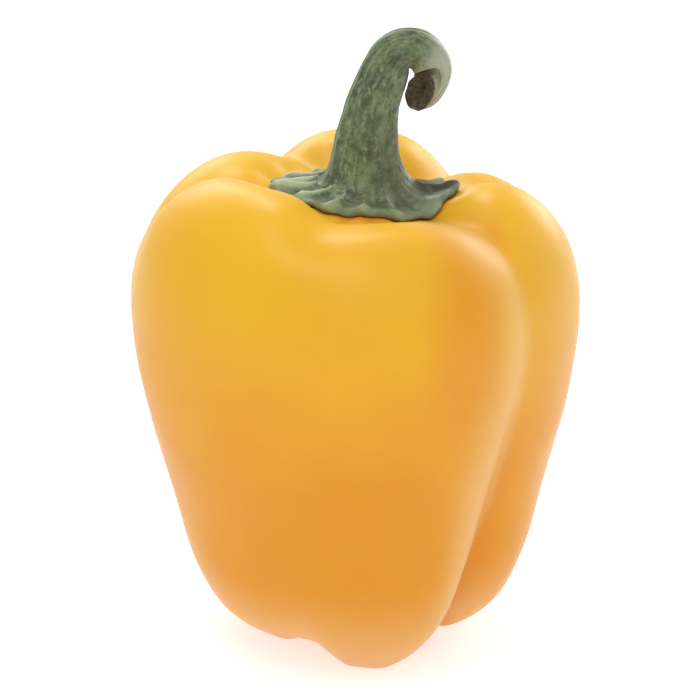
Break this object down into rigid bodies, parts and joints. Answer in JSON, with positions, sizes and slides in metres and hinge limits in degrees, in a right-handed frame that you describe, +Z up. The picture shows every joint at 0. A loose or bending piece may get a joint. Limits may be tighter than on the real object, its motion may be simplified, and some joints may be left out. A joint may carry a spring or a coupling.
{
  "type": "bell pepper",
  "caption": "Ripe yellow-orange bell pepper standing on its lobes, with a hooked green stem and a ribbed calyx.",
  "frame": {"origin": "under the middle of the pepper's box, on the surface that it stands on", "axes": "+Z up along the fruit's axis, -Y towards the side that the picture shows, +X to the right of it"},
  "size_m": [0.0848, 0.0878, 0.1195],
  "materials": {
    "pepper_skin": "glossy waxy skin, yellow on the shoulders and orange below",
    "green_stem": "dull grey-green stem with a dry brown cut end"
  },
  "bodies": {
    "root": {"fruit": "pepper_skin", "stem_and_calyx": "green_stem"}
  },
  "joints": []
}
